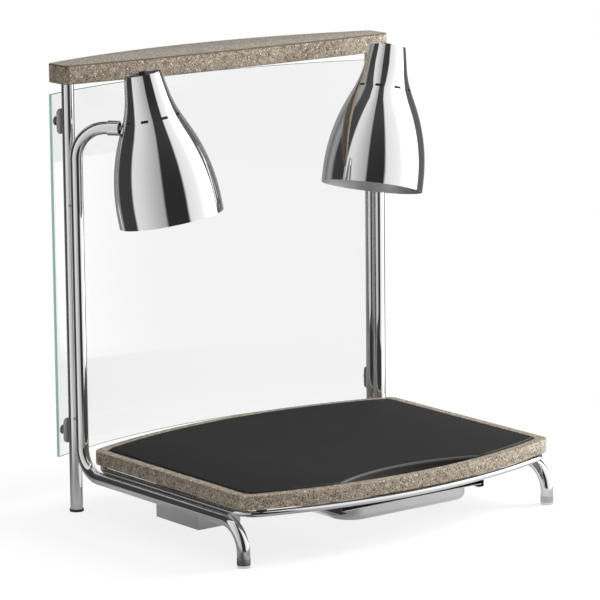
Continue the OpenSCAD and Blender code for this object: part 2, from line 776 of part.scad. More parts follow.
module arm_collar(s) {
    color(chrome) arm_frame(s) rotate([0, 90, 0]) difference() {
        union() {
            difference() {
                translate([0, 0, arm_reach - collar_lap]) cylinder(r = collar_r, h = collar_end - arm_reach + collar_lap);
                cylinder(r = tube_r + 0.05, h = arm_reach);
            }
            translate([0, 0, arm_reach - spigot_long]) cylinder(r = bore_r, h = spigot_long + 0.5);
        }
        translate([0, 0, arm_reach + 1]) cylinder(r = cavity_r, h = 40);
        cylinder(r = journal_r + run_fit, h = collar_end);
    }
}

module swivel_fork(s) {
    disc_u = arm_reach + 1 + face_gap;
    ear_end = pin_u + 3.2;
    color(steel) swivel_frame(s) union() {
        rotate([0, 90, 0]) {
            translate([0, 0, disc_u]) cylinder(r = cavity_r - run_fit, h = 1.6);
            translate([0, 0, arm_reach - spigot_long - 3]) cylinder(r = journal_r, h = spigot_long + 5);
            translate([0, 0, arm_reach - spigot_long - face_gap - 2.5]) cylinder(r = 6, h = 2.5);
        }
        difference() {
            for (e = [-1, 1]) intersection() {
                translate([disc_u + 1, e * (tongue_t / 2 + 0.1 + ear_t / 2) - ear_t / 2, -4])
                    cube([ear_end - disc_u - 1, ear_t, 8]);
                rotate([0, 90, 0]) cylinder(r = cavity_r - run_fit, h = collar_end);
            }
            translate([pin_u, 0, 0]) rotate([90, 0, 0]) cylinder(r = pin_r, h = 40, center = true);
        }
    }
}

module tilt_pin(s) {
    color(steel) swivel_frame(s) translate([pin_u, 0, 0]) rotate([90, 0, 0])
        cylinder(r = pin_r, h = 2 * (tongue_t / 2 + ear_t), center = true);
}

// radial frame at the pin level of a lamp: X towards the lamp axis, zero at the tilt pin
module pin_frame(s) {
    lamp_frame(s) translate([-lamp_out, 0, pin_s]) children();
}

nut_out = lamp_out - cone_wall_r - nut_r * tan(shade_slope) - 0.1;
nut_in = lamp_out - cone_wall_r + nut_r * tan(shade_slope) + shade_wall / cos(shade_slope) + 0.1;
nut_t = 2.2;

module shade_stem(s) {
    color(steel) pin_frame(s) difference() {
        union() {
            rotate([90, 0, 0]) cylinder(r = pin_r + 2.8, h = tongue_t, center = true);
            rotate([0, 90, 0]) cylinder(r = stem_r, h = nut_in + nut_t + 2);
        }
        rotate([90, 0, 0]) cylinder(r = pin_r + run_fit, h = 40, center = true);
    }
}

module stem_nuts(s) {
    color(steel) pin_frame(s) rotate([0, 90, 0]) for (x = [nut_out - nut_t, nut_in]) difference() {
        translate([0, 0, x]) cylinder(r = nut_r, h = nut_t, $fn = 6);
        cylinder(r = stem_r, h = 60);
    }
}

module shade(s) {
    color(chrome) lamp_frame(s) difference() {
        rotate_extrude($fn = 96) polygon(concat(shade_side,
            [for (i = [len(shade_side) - 1:-1:0]) shade_side[i] - [shade_wall, 0]]));
        translate([-lamp_out, 0, pin_s]) rotate([0, 90, 0]) cylinder(r = stem_r + 0.1, h = 40);
        for (k = [0:8]) rotate([0, 0, (s < 0 ? left_vents : right_vents) + k * 40]) translate([vent_r, 0, vent_s])
            cube([16, vent_wide, 3], center = true);
    }
}

module shade_cap(s) {
    color(black) lamp_frame(s) translate([0, 0, cap_s]) difference() {
        cylinder(r = cap_r, h = cap_t);
        translate([0, 0, -1]) cylinder(r = button_r + run_fit, h = 9);
        for (k = [0:7]) rotate([0, 0, k * 45]) translate([17.5, 0, -1]) cylinder(r = 3.4, h = 9);
    }
}

module lamp_socket(s) {
    color([0.9, 0.9, 0.87]) lamp_frame(s) difference() {
        union() {
            translate([0, 0, socket_s0]) cylinder(r = socket_r, h = socket_s1 - socket_s0);
            translate([0, 0, socket_s1 - 1]) cylinder(r = 11, h = cap_s - socket_s1 + 1);
        }
        translate([0, 0, socket_s0 - 1]) cylinder(r = 14.5, h = 35);
        translate([0, 0, socket_s1 + 4]) cylinder(r = 9.2, h = 40);
    }
}

// bulb outline: flat-domed face, round shoulder, long neck, screw base
function bulb_side(t) = concat(
    [for (i = [0:5]) let (x = (bulb_r - 14) * i / 5) [x, bulb_s + t + 9 * pow(x / bulb_r, 2)]],
    [for (a = [-60:20:60]) [bulb_r - 22 + (22 - t) * cos(a), bulb_s + 30 + (22 - t) * sin(a)]],
    [[34 - t, bulb_s + 84], [20 - t, bulb_s + 112], [13.5 - t, bulb_s + 122]]);

module bulb(s) {
    top_in = bulb_side(1);
    color([0.9, 0.85, 0.8]) lamp_frame(s) union() {
        rotate_extrude($fn = 96) polygon(concat(bulb_side(0),
            [for (i = [len(top_in) - 1:-1:0]) top_in[i]]));
        translate([0, 0, bulb_s + 122]) cylinder(r = 13.5, h = bulb_long - 122);
    }
}

module lamp_button(s) {
    color(black) lamp_frame(s) translate([0, 0, cap_s]) {
        translate([0, 0, -face_gap - 3]) cylinder(r = 8.4, h = 3);
        translate([0, 0, -face_gap - 1]) cylinder(r = button_r, h = cap_t + 7);
    }
}

module left_arm_collar() { arm_collar(-1); }
module right_arm_collar() { arm_collar(1); }
module left_swivel_fork() { swivel_fork(-1); }
module right_swivel_fork() { swivel_fork(1); }
module left_tilt_pin() { tilt_pin(-1); }
module right_tilt_pin() { tilt_pin(1); }
module left_shade_stem() { shade_stem(-1); }
module right_shade_stem() { shade_stem(1); }
module left_stem_nuts() { stem_nuts(-1); }
module right_stem_nuts() { stem_nuts(1); }
module left_shade() { shade(-1); }
module right_shade() { shade(1); }
module left_shade_cap() { shade_cap(-1); }
module right_shade_cap() { shade_cap(1); }
module left_lamp_socket() { lamp_socket(-1); }
module right_lamp_socket() { lamp_socket(1); }
module left_bulb() { bulb(-1); }
module right_bulb() { bulb(1); }
module left_lamp_button() { lamp_button(-1); }
module right_lamp_button() { lamp_button(1); }

stone_base();
carving_board();
heater_mat();
insulation_mat();
base_cover();
cover_screws();
support_ring();
slab_pads();
left_side_tube();
right_side_tube();
left_post();
right_post();
rear_feet();
front_feet();
post_rivets();
post_top_plugs();
stone_header();
glass_guard();
glass_bolts();
glass_washers();
upper_left_knob();
upper_right_knob();
lower_left_knob();
lower_right_knob();
left_channel();
right_channel();
drip_pan();
control_box();
control_box_lid();
box_screws();
thermostat();
thermostat_knob();
switch_housing();
rocker_switch();
pilot_light();
power_inlet();
terminal_block();
left_arm_collar();
right_arm_collar();
left_swivel_fork();
right_swivel_fork();
left_tilt_pin();
right_tilt_pin();
left_shade_stem();
right_shade_stem();
left_stem_nuts();
right_stem_nuts();
left_shade();
right_shade();
left_shade_cap();
right_shade_cap();
left_lamp_socket();
right_lamp_socket();
left_bulb();
right_bulb();
left_lamp_button();
right_lamp_button();
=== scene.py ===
import bpy, bmesh, json, math
from mathutils import Matrix, Vector


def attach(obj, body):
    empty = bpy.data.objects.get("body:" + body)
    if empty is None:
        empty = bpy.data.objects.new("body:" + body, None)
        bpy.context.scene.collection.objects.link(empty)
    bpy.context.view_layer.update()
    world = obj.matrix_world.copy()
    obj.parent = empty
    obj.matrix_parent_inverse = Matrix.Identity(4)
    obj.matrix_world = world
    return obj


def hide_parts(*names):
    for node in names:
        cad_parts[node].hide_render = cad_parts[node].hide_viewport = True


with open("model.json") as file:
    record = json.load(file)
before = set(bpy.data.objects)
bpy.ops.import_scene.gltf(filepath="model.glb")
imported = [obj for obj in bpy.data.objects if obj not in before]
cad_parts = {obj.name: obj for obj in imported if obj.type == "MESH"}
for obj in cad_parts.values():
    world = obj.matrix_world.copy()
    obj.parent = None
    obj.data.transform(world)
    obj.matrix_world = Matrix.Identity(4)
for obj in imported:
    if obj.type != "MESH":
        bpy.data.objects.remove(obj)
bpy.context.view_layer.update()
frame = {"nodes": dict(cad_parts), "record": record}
nodes = frame["nodes"]
MM = 0.001


# sizes repeated from the part's source, in millimetres and degrees; HW, HL and HH are half widths and heights
BASE_HW, BASE_FRONT, BASE_REAR, BASE_BOW = 305.0, -293.0, 215.0, 56.0
BASE_LOW, BASE_TOP, BASE_CORNER = 87.0, 109.0, 20.0
POCKET, RIM, POCKET_CORNER = 95.0, 17.5, 12.0
BOARD_INSET, BOARD_LOW, BOARD_TOP, BOARD_CORNER = 20.5, 95.2, 111.0, 10.0
NOTCH_W, NOTCH_D = 270.0, 40.0
TUBE_R, TUBE_X, POST_Y, POST_TOP = 10.0, 303.0, 211.5, 689.0
RISER_Y, LEG_Y, FOOT, REAR_FOOT = 191.4, -234.5, 14.0, 4.0
RING_R, RING_INSET, RING_Z, RING_CORNER = 4.75, 5.5, 79.6, 40.0
WELD_GAP = 0.05
RUNNER_Z = RING_Z - math.sqrt((TUBE_R + RING_R + WELD_GAP) ** 2 - (TUBE_X - BASE_HW + RING_INSET) ** 2)
ARM_Z, ARM_ANGLE, ARM_REACH, LOW_BEND, TOP_BEND = 621.5, 36.4, 59.4, 45.0, 50.0
HEAD_HL, HEAD_FRONT, HEAD_REAR, HEAD_TOP = 323.0, 175.5, 293.0, 719.0
HEAD_FRONT_BOW, HEAD_REAR_BOW, HEAD_CORNER = 12.0, 56.0, 10.0
GLASS_R, GLASS_T, GLASS_LOW, GLASS_HIGH, GLASS_GAP = 890.0, 5.0, 89.0, 671.0, 20.0
GLASS_PAST = 16.0
STUD_ANGLE = math.degrees(math.asin(TUBE_X / (GLASS_R - GLASS_GAP)))
GLASS_CY = POST_Y - math.sqrt((GLASS_R - GLASS_GAP) ** 2 - TUBE_X ** 2)
STUDS = {"upper": 627.5, "lower": 131.0}
PIN_U, LAMP_OUT, PIN_S, SHADE_LONG, SHADE_R = 68.0, 59.61, 153.46, 231.0, 82.5
SHADE_RIM, BELLY_R, CONE_SLOPE, CONE_LONG = 18.0, 290.0, 24.5, 22.0
NECK_R, NECK_SLOPE, SHADE_WALL = 165.0, 9.5, 1.2
VENT_LOW, VENT_HIGH, VENT_PITCH, VENT_HALF = 160.0, 163.0, 40.0, 7.6
KNOB_HW, KNOB_HH, KNOB_CORNER, KNOB_LOW, KNOB_HIGH = 10.0, 20.0, 8.0, 11.0, 16.5
HUB_R, HUB_LONG, HUB_TOP = 7.0, 3.6, 19.55
LAMP_TILT = {"left": 10.24, "right": 14.23}
LAMP_ROLL = {"left": 1.78, "right": -7.6}
VENT_TURN = {"left": 35.0, "right": 28.0}
SIDE = {"left": -1, "right": 1}

# rounding of edges, only in the looks
STONE_SOFT, HEAD_SOFT, BOARD_SOFT, NOTCH_SOFT = 1.6, 2.0, 1.2, 9.0
GLASS_SOFT, KNOB_SOFT, HUB_SOFT = 0.4, 1.8, 1.6

# fineness of the meshes
BOW_STEPS, CORNER_STEPS, BEND_STEPS, SHADE_SIDES = 48, 8, 20, 288
SMOOTH_BELOW = 35.0


# modelling helpers

def new_piece(name, bm, body, materials):
    """Turns a bmesh in millimetres into a piece that rides on a body."""
    bmesh.ops.remove_doubles(bm, verts=bm.verts, dist=0.01)
    bmesh.ops.recalc_face_normals(bm, faces=bm.faces)
    bmesh.ops.scale(bm, vec=(MM, MM, MM), verts=bm.verts)
    mesh = bpy.data.meshes.new(name)
    bm.to_mesh(mesh)
    bm.free()
    for m in materials:
        mesh.materials.append(m)
    mesh.shade_smooth()
    mesh.set_sharp_from_angle(angle=math.radians(SMOOTH_BELOW))
    piece = bpy.data.objects.new(name, mesh)
    bpy.context.scene.collection.objects.link(piece)
    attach(piece, body)
    return piece


def last_of(result, kind):
    return [g for g in result["geom_last"] if isinstance(g, kind)]


def chain(bm, start, steps, axis=(0, 0, 1)):
    """Draws a chain of edges from start: ("arc", centre, degrees, steps) or ("to", point)."""
    v = bm.verts.new(start)
    for step in steps:
        if step[0] == "arc":
            r = bmesh.ops.spin(bm, geom=[v], cent=step[1], axis=axis, angle=math.radians(step[2]),
                               steps=step[3], use_duplicate=False)
            v = last_of(r, bmesh.types.BMVert)[0]
        else:
            v = bmesh.ops.extrude_vert_indiv(bm, verts=[v])["verts"][0]
            v.co = step[1]


def bow_radius(half, bow):
    """Radius of an arc from half its width and its height."""
    return (half ** 2 + bow ** 2) / (2 * bow)


def bowed_steps(hw, yf, yr, rf, rr, rc, z):
    """Start point and chain of a plate outline, anticlockwise from the front left tangent."""
    cf, cr = yf + rf, yr - rr
    cx = hw - rc
    fy = cf - math.sqrt((rf - rc) ** 2 - cx ** 2)
    ry = cr + math.sqrt((rr - rc) ** 2 - cx ** 2)
    af = math.degrees(math.atan2(cf - fy, cx))
    ar = math.degrees(math.atan2(ry - cr, cx))
    k = rf / (rf - rc)
    start = (-cx * k, cf + (fy - cf) * k, z)
    steps = [("arc", (0, cf, z), 180 - 2 * af, BOW_STEPS), ("arc", (cx, fy, z), af, CORNER_STEPS),
             ("to", (hw, ry, z)), ("arc", (cx, ry, z), ar, CORNER_STEPS),
             ("arc", (0, cr, z), 180 - 2 * ar, BOW_STEPS), ("arc", (-cx, ry, z), ar, CORNER_STEPS),
             ("to", (-hw, fy, z)), ("arc", (-cx, fy, z), af, CORNER_STEPS)]
    return start, steps


def close_loop(bm, edges_before):
    """Merges the ends of the newest chain and returns its edges."""
    bmesh.ops.remove_doubles(bm, verts=bm.verts, dist=0.005)
    return [e for e in bm.edges if e not in edges_before]


def plate(bm, start, steps, z0, z1):
    """Closed outline at z0, filled and drawn up to z1."""
    chain(bm, start, steps)
    edges = close_loop(bm, set())
    low = bmesh.ops.contextual_create(bm, geom=edges)["faces"]
    up = bmesh.ops.extrude_face_region(bm, geom=low, use_keep_orig=True)
    top = [g for g in up["geom"] if isinstance(g, bmesh.types.BMFace)]
    verts = list({v for f in top for v in f.verts})
    bmesh.ops.translate(bm, verts=verts, vec=(0, 0, z1 - z0))


def flat_edges(bm, z, near=0.01):
    """Edges that lie at height z between a level face and a wall."""
    found = []
    for e in bm.edges:
        if all(abs(v.co.z - z) < near for v in e.verts) and len(e.link_faces) == 2:
            n = [abs(f.normal.z) for f in e.link_faces]
            if min(n) < 0.5 < max(n):
                found.append(e)
    return found


def soften(bm, edges, width, segments=3):
    """Rounds edges and brings the normals up to date."""
    bmesh.ops.bevel(bm, geom=edges, offset=width, offset_type="OFFSET", segments=segments, profile=0.5,
                    affect="EDGES", material=-1, clamp_overlap=True)
    bm.normal_update()


def face_out(bm):
    """Points the faces outward and brings the normals up to date."""
    bmesh.ops.recalc_face_normals(bm, faces=bm.faces)
    bm.normal_update()


def drawn_out(result):
    """Vertices and far edges of an extrusion."""
    verts = [g for g in result["geom"] if isinstance(g, bmesh.types.BMVert)]
    edges = [g for g in result["geom"] if isinstance(g, bmesh.types.BMEdge)
             and all(v in verts for v in g.verts)]
    return verts, edges


def bent_bar(bm, radius, start, direction, steps, sides=48, closed=False):
    """Round bar from start: ("run", vector) or ("bend", centre, axis, degrees, steps)."""
    d = Vector(direction).normalized()
    turn = d.to_track_quat("Z", "Y").to_matrix().to_4x4()
    ring = bmesh.ops.create_circle(bm, cap_ends=False, radius=radius, segments=sides,
                                   matrix=Matrix.Translation(start) @ turn)["verts"]
    first = list({e for v in ring for e in v.link_edges})
    last = first
    for step in steps:
        if step[0] == "run":
            verts, last = drawn_out(bmesh.ops.extrude_edge_only(bm, edges=last))
            bmesh.ops.translate(bm, verts=verts, vec=step[1])
        else:
            r = bmesh.ops.spin(bm, geom=last, cent=step[1], axis=step[2], angle=math.radians(step[3]),
                               steps=step[4], use_duplicate=False)
            last = last_of(r, bmesh.types.BMEdge)
    if not closed:
        bmesh.ops.contextual_create(bm, geom=first)
        bmesh.ops.contextual_create(bm, geom=last)


def turned(bm, start, steps, sides):
    """Turns a chain in the XZ plane round the Z axis into a skin."""
    chain(bm, start, steps, axis=(0, 1, 0))
    bmesh.ops.spin(bm, geom=bm.verts[:] + bm.edges[:], cent=(0, 0, 0), axis=(0, 0, 1),
                   angle=math.tau, steps=sides, use_merge=True, use_duplicate=False)
    bmesh.ops.remove_doubles(bm, verts=bm.verts, dist=0.005)


def arm_matrix(side):
    s = SIDE[side]
    return (Matrix.Translation((s * TUBE_X, RISER_Y, ARM_Z))
            @ Matrix.Rotation(math.radians(-90 - s * ARM_ANGLE), 4, "Z"))


def lamp_matrix(side):
    return (arm_matrix(side) @ Matrix.Rotation(math.radians(LAMP_ROLL[side]), 4, "X")
            @ Matrix.Translation((PIN_U, 0, 0)) @ Matrix.Rotation(math.radians(-LAMP_TILT[side]), 4, "Y")
            @ Matrix.Translation((LAMP_OUT, 0, -PIN_S)))


def stud_matrix(side, z):
    s = SIDE[side]
    return (Matrix.Translation((0, GLASS_CY, z)) @ Matrix.Rotation(math.radians(-s * STUD_ANGLE), 4, "Z")
            @ Matrix.Translation((0, GLASS_R - GLASS_GAP, 0)) @ Matrix.Rotation(math.radians(-90), 4, "X"))


# materials

def node_group(name, inputs, outputs):
    g = bpy.data.node_groups.new(name, "ShaderNodeTree")
    for n, kind, value in inputs:
        sock = g.interface.new_socket(n, in_out="INPUT", socket_type=kind)
        sock.default_value = value
    for n, kind in outputs:
        g.interface.new_socket(n, in_out="OUTPUT", socket_type=kind)
    return g, g.nodes.new("NodeGroupInput"), g.nodes.new("NodeGroupOutput")


def make_grain_group():
    """Fine uneven grain: a value between low and high, and a height for bump."""
    g, i, o = node_group("fine_grain",
                         [("Scale", "NodeSocketFloat", 300.0), ("Low", "NodeSocketFloat", 0.3),
                          ("High", "NodeSocketFloat", 0.5)],
                         [("Value", "NodeSocketFloat"), ("Height", "NodeSocketFloat")])
    tc = g.nodes.new("ShaderNodeTexCoord")
    noise = g.nodes.new("ShaderNodeTexNoise")
    noise.inputs["Detail"].default_value = 6.0
    noise.inputs["Roughness"].default_value = 0.6
    spread = g.nodes.new("ShaderNodeMapRange")
    spread.inputs["From Min"].default_value = 0.3
    spread.inputs["From Max"].default_value = 0.7
    g.links.new(tc.outputs["Object"], noise.inputs["Vector"])
    g.links.new(i.outputs["Scale"], noise.inputs["Scale"])
    g.links.new(noise.outputs["Fac"], spread.inputs["Value"])
    g.links.new(i.outputs["Low"], spread.inputs["To Min"])
    g.links.new(i.outputs["High"], spread.inputs["To Max"])
    g.links.new(spread.outputs["Result"], o.inputs["Value"])
    g.links.new(noise.outputs["Fac"], o.inputs["Height"])
    return g


def make_chip_group():
    """Mask of stone chips: round spots in cells of one size, some of them picked."""
    g, i, o = node_group("stone_chips",
                         [("Scale", "NodeSocketFloat", 300.0), ("Size", "NodeSocketFloat", 0.35),
                          ("Share", "NodeSocketFloat", 0.3)],
                         [("Mask", "NodeSocketFloat")])
    tc = g.nodes.new("ShaderNodeTexCoord")
    cells = g.nodes.new("ShaderNodeTexVoronoi")
    cells.inputs["Randomness"].default_value = 1.0
    g.links.new(tc.outputs["Object"], cells.inputs["Vector"])
    g.links.new(i.outputs["Scale"], cells.inputs["Scale"])
    inside = g.nodes.new("ShaderNodeMath")
    inside.operation = "LESS_THAN"
    g.links.new(cells.outputs["Distance"], inside.inputs[0])
    g.links.new(i.outputs["Size"], inside.inputs[1])
    tone = g.nodes.new("ShaderNodeSeparateColor")
    g.links.new(cells.outputs["Color"], tone.inputs["Color"])
    picked = g.nodes.new("ShaderNodeMath")
    picked.operation = "LESS_THAN"
    g.links.new(tone.outputs["Red"], picked.inputs[0])
    g.links.new(i.outputs["Share"], picked.inputs[1])
    both = g.nodes.new("ShaderNodeMath")
    both.operation = "MULTIPLY"
    g.links.new(inside.outputs[0], both.inputs[0])
    g.links.new(picked.outputs[0], both.inputs[1])
    g.links.new(both.outputs[0], o.inputs["Mask"])
    return g


GRAIN = make_grain_group()
CHIPS = make_chip_group()


def material(name):
    m = bpy.data.materials.new(name)
    m.use_nodes = True
    return m, m.node_tree.nodes, m.node_tree.links, m.node_tree.nodes["Principled BSDF"]


def place_group(nodes_, group, **values):
    n = nodes_.new("ShaderNodeGroup")
    n.node_tree = group
    for k, v in values.items():
        n.inputs[k].default_value = v
    return n


def add_bump(nodes_, links, shader, height, strength, distance):
    b = nodes_.new("ShaderNodeBump")
    b.inputs["Strength"].default_value = strength
    b.inputs["Distance"].default_value = distance
    links.new(height, b.inputs["Height"])
    links.new(b.outputs["Normal"], shader.inputs["Normal"])


def plain_finish(name, colour, rough, spread, scale, metal=0.0, bump=0.0, depth=0.0002, tint=0.06,
                 gloss=0.5):
    """One finish with grain in its roughness, a faint change of tone and a fine bump."""
    m, n, l, s = material(name)
    s.inputs["Metallic"].default_value = metal
    s.inputs["Specular IOR Level"].default_value = gloss
    g = place_group(n, GRAIN, Scale=scale, Low=max(rough - spread, 0.01), High=rough + spread)
    l.new(g.outputs["Value"], s.inputs["Roughness"])
    tone = n.new("ShaderNodeMix")
    tone.data_type = "RGBA"
    tone.inputs["A"].default_value = (*[c * (1 - tint) for c in colour], 1)
    tone.inputs["B"].default_value = (*[min(c * (1 + tint), 1) for c in colour], 1)
    l.new(g.outputs["Height"], tone.inputs["Factor"])
    l.new(tone.outputs["Result"], s.inputs["Base Color"])
    if bump:
        add_bump(n, l, s, g.outputs["Height"], bump, depth)
    return m


# ground tones of the stone, and its chips: cells per metre, size, share picked, colour
STONE_DARK, STONE_LIGHT = (0.135, 0.109, 0.079, 1), (0.335, 0.282, 0.214, 1)
STONE_CHIPS = ((420.0, 0.42, 0.34, (0.40, 0.35, 0.28, 1)), (330.0, 0.40, 0.30, (0.055, 0.043, 0.032, 1)),
               (290.0, 0.33, 0.11, (0.62, 0.58, 0.51, 1)), (620.0, 0.42, 0.28, (0.066, 0.051, 0.040, 1)))


def stone_finish():
    m, n, l, s = material("speckled_stone")
    s.inputs["Specular IOR Level"].default_value = 0.35
    cloud = place_group(n, GRAIN, Scale=110.0, Low=0.0, High=1.0)
    base = n.new("ShaderNodeMix")
    base.data_type = "RGBA"
    base.inputs["A"].default_value = STONE_DARK
    base.inputs["B"].default_value = STONE_LIGHT
    l.new(cloud.outputs["Value"], base.inputs["Factor"])
    colour = base.outputs["Result"]
    for scale, size, share, tint in STONE_CHIPS:
        chips = place_group(n, CHIPS, Scale=scale, Size=size, Share=share)
        mix = n.new("ShaderNodeMix")
        mix.data_type = "RGBA"
        mix.inputs["B"].default_value = tint
        l.new(chips.outputs["Mask"], mix.inputs["Factor"])
        l.new(colour, mix.inputs["A"])
        colour = mix.outputs["Result"]
    l.new(colour, s.inputs["Base Color"])
    g = place_group(n, GRAIN, Scale=240.0, Low=0.14, High=0.26)
    l.new(g.outputs["Value"], s.inputs["Roughness"])
    add_bump(n, l, s, g.outputs["Height"], 0.06, 0.0003)
    return m


def brushed_finish(name, colour, rough, spread, stretch):
    """Metal with its grain drawn out along x."""
    m, n, l, s = material(name)
    s.inputs["Metallic"].default_value = 1.0
    s.inputs["Base Color"].default_value = (*colour, 1)
    tc = n.new("ShaderNodeTexCoord")
    mp = n.new("ShaderNodeMapping")
    mp.inputs["Scale"].default_value = stretch
    noise = n.new("ShaderNodeTexNoise")
    noise.inputs["Scale"].default_value = 1.0
    noise.inputs["Detail"].default_value = 4.0
    l.new(tc.outputs["Object"], mp.inputs["Vector"])
    l.new(mp.outputs["Vector"], noise.inputs["Vector"])
    grain = n.new("ShaderNodeMapRange")
    grain.inputs["To Min"].default_value = rough - spread
    grain.inputs["To Max"].default_value = rough + spread
    l.new(noise.outputs["Fac"], grain.inputs["Value"])
    l.new(grain.outputs["Result"], s.inputs["Roughness"])
    add_bump(n, l, s, noise.outputs["Fac"], 0.05, 0.0001)
    return m


def glass_finish(name, colour, rough, weight, scale, mirror=0.6):
    """Glass that lets through a share of the light and mirrors a share of the rest."""
    m, n, l, s = material(name)
    s.inputs["Base Color"].default_value = (*colour, 1)
    s.inputs["Transmission Weight"].default_value = weight
    s.inputs["IOR"].default_value = 1.5
    s.inputs["Specular Tint"].default_value = (mirror, mirror, mirror, 1)
    g = place_group(n, GRAIN, Scale=scale, Low=max(rough - 0.01, 0.0), High=rough + 0.01)
    l.new(g.outputs["Value"], s.inputs["Roughness"])
    return m


STONE = stone_finish()
# stone painted darker as painted shade, for the rounded top edge of the header
STONE_EDGE_PAINTED_SHADE = plain_finish("stone_edge_painted_shade", (0.085, 0.067, 0.049), 0.34, 0.08, 300.0, bump=0.05, tint=0.5,
                          gloss=0.3)
BOARD = plain_finish("black_board", (0.019, 0.019, 0.0195), 0.62, 0.07, 900.0, bump=0.22, depth=0.0003,
                     tint=0.25, gloss=0.04)
BOARD_EDGE = plain_finish("board_edge", (0.016, 0.016, 0.0165), 0.36, 0.04, 700.0, bump=0.03, tint=0.15,
                          gloss=0.8)
CHROME = plain_finish("bright_chrome", (0.82, 0.82, 0.825), 0.050, 0.012, 60.0, metal=1.0, tint=0.01)
SATIN = plain_finish("satin_lining", (0.72, 0.72, 0.72), 0.42, 0.06, 400.0, metal=1.0, bump=0.04)
STEEL = brushed_finish("brushed_steel", (0.66, 0.66, 0.665), 0.33, 0.09, (40.0, 900.0, 900.0))
FITTING = plain_finish("plain_steel", (0.52, 0.52, 0.53), 0.26, 0.06, 500.0, metal=1.0, bump=0.03)
FERRULE = plain_finish("grey_ferrule", (0.62, 0.62, 0.63), 0.30, 0.06, 500.0, metal=1.0, bump=0.03)
# steel painted near black as painted shade, for the channels whose open ends lie in shade
CHANNEL_STEEL_PAINTED_SHADE = plain_finish("channel_steel_painted_shade", (0.10, 0.10, 0.102), 0.38, 0.06, 500.0, metal=1.0, bump=0.03)
RUBBER = plain_finish("black_rubber", (0.020, 0.020, 0.021), 0.68, 0.08, 700.0, bump=0.15, tint=0.2)
KNOB = plain_finish("knob_plastic", (0.30, 0.30, 0.295), 0.48, 0.07, 600.0, bump=0.08, tint=0.1)
BLACK = plain_finish("black_plastic", (0.022, 0.022, 0.023), 0.40, 0.07, 700.0, bump=0.1, tint=0.15)
WOOL = plain_finish("mineral_wool", (0.60, 0.53, 0.33), 0.92, 0.05, 300.0, bump=0.6, depth=0.001, tint=0.25)
HEATER = plain_finish("heater_rubber", (0.42, 0.13, 0.06), 0.62, 0.08, 400.0, bump=0.2, tint=0.15)
CERAMIC = plain_finish("white_ceramic", (0.72, 0.71, 0.67), 0.45, 0.08, 300.0, bump=0.05)
LENS = plain_finish("amber_lens", (0.75, 0.22, 0.02), 0.12, 0.03, 300.0)
BULB = plain_finish("frosted_bulb", (0.78, 0.74, 0.68), 0.35, 0.05, 300.0)
GLASS = glass_finish("clear_glass", (0.890, 0.894, 0.893), 0.01, 1.0, 30.0, mirror=0.05)
GLASS_END = glass_finish("glass_end", (0.62, 1.00, 0.92), 0.12, 0.45, 120.0)
GLASS_RIM = glass_finish("glass_rim", (0.46, 0.56, 0.54), 0.12, 0.45, 120.0)

SLOT_FINISH = {"stone": STONE, "board": BOARD, "heater": HEATER, "wool": WOOL, "satin_steel": STEEL,
               "chrome": CHROME, "rubber": RUBBER, "clear_glass": GLASS, "knob_plastic": KNOB,
               "black_plastic": BLACK, "amber_lens": LENS, "white_ceramic": CERAMIC, "bulb_glass": BULB}
FITTINGS = ("post_rivets", "cover_screws", "box_screws", "left_swivel_fork", "right_swivel_fork",
            "left_tilt_pin", "right_tilt_pin", "left_shade_stem", "right_shade_stem", "left_stem_nuts",
            "right_stem_nuts", "post_top_plugs")
# nodes that don't have the finish of their slot; the channels are painted near black as painted shade in
# their open ends
NODE_FINISH = {**dict.fromkeys(FITTINGS, FITTING), "front_feet": FERRULE, "glass_bolts": KNOB,
               "left_channel": CHANNEL_STEEL_PAINTED_SHADE, "right_channel": CHANNEL_STEEL_PAINTED_SHADE}
for part in frame["record"]["subparts"]:
    finishes = nodes[part["node"]].data.materials
    finishes.clear()
    finishes.append(NODE_FINISH.get(part["node"], SLOT_FINISH[part["material_slot"]]))


# the pieces whose looks need more than the solid's mesh

BASE_R = bow_radius(BASE_HW, BASE_BOW)


def build_base():
    """Rim between two outlines, walls drawn down from both."""
    bm = bmesh.new()
    chain(bm, *bowed_steps(BASE_HW, BASE_FRONT, BASE_REAR, BASE_R, BASE_R, BASE_CORNER, BASE_TOP))
    first = close_loop(bm, set())
    r = BASE_R - RIM
    chain(bm, *bowed_steps(BASE_HW - RIM, BASE_FRONT + RIM, BASE_REAR - RIM, r, r, POCKET_CORNER, BASE_TOP))
    second = close_loop(bm, set(first))
    bmesh.ops.bridge_loops(bm, edges=first + second)
    for loop, z in ((first, BASE_LOW), (second, POCKET)):
        verts, edges = drawn_out(bmesh.ops.extrude_edge_only(bm, edges=loop))
        bmesh.ops.translate(bm, verts=verts, vec=(0, 0, z - BASE_TOP))
        bmesh.ops.contextual_create(bm, geom=edges)
    face_out(bm)
    soften(bm, flat_edges(bm, BASE_TOP), STONE_SOFT)
    soften(bm, flat_edges(bm, BASE_LOW), STONE_SOFT)
    piece = new_piece("base_stone", bm, "frame", [STONE])
    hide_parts("stone_base")


def build_header():
    bm = bmesh.new()
    rf, rr = bow_radius(HEAD_HL, HEAD_FRONT_BOW), bow_radius(HEAD_HL, HEAD_REAR_BOW)
    start, steps = bowed_steps(HEAD_HL, HEAD_FRONT, HEAD_REAR, rf, rr, HEAD_CORNER, POST_TOP)
    plate(bm, start, steps, POST_TOP, HEAD_TOP)
    face_out(bm)
    soften(bm, flat_edges(bm, HEAD_TOP), HEAD_SOFT)
    soften(bm, flat_edges(bm, POST_TOP), STONE_SOFT)
    # the rounded top edge is painted darker, as painted shade, so it shows as a dark line
    for f in bm.faces:
        f.material_index = 1 if 0.2 < f.normal.z < 0.97 else 0
    piece = new_piece("header_stone", bm, "frame", [STONE, STONE_EDGE_PAINTED_SHADE])
    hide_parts("stone_header")


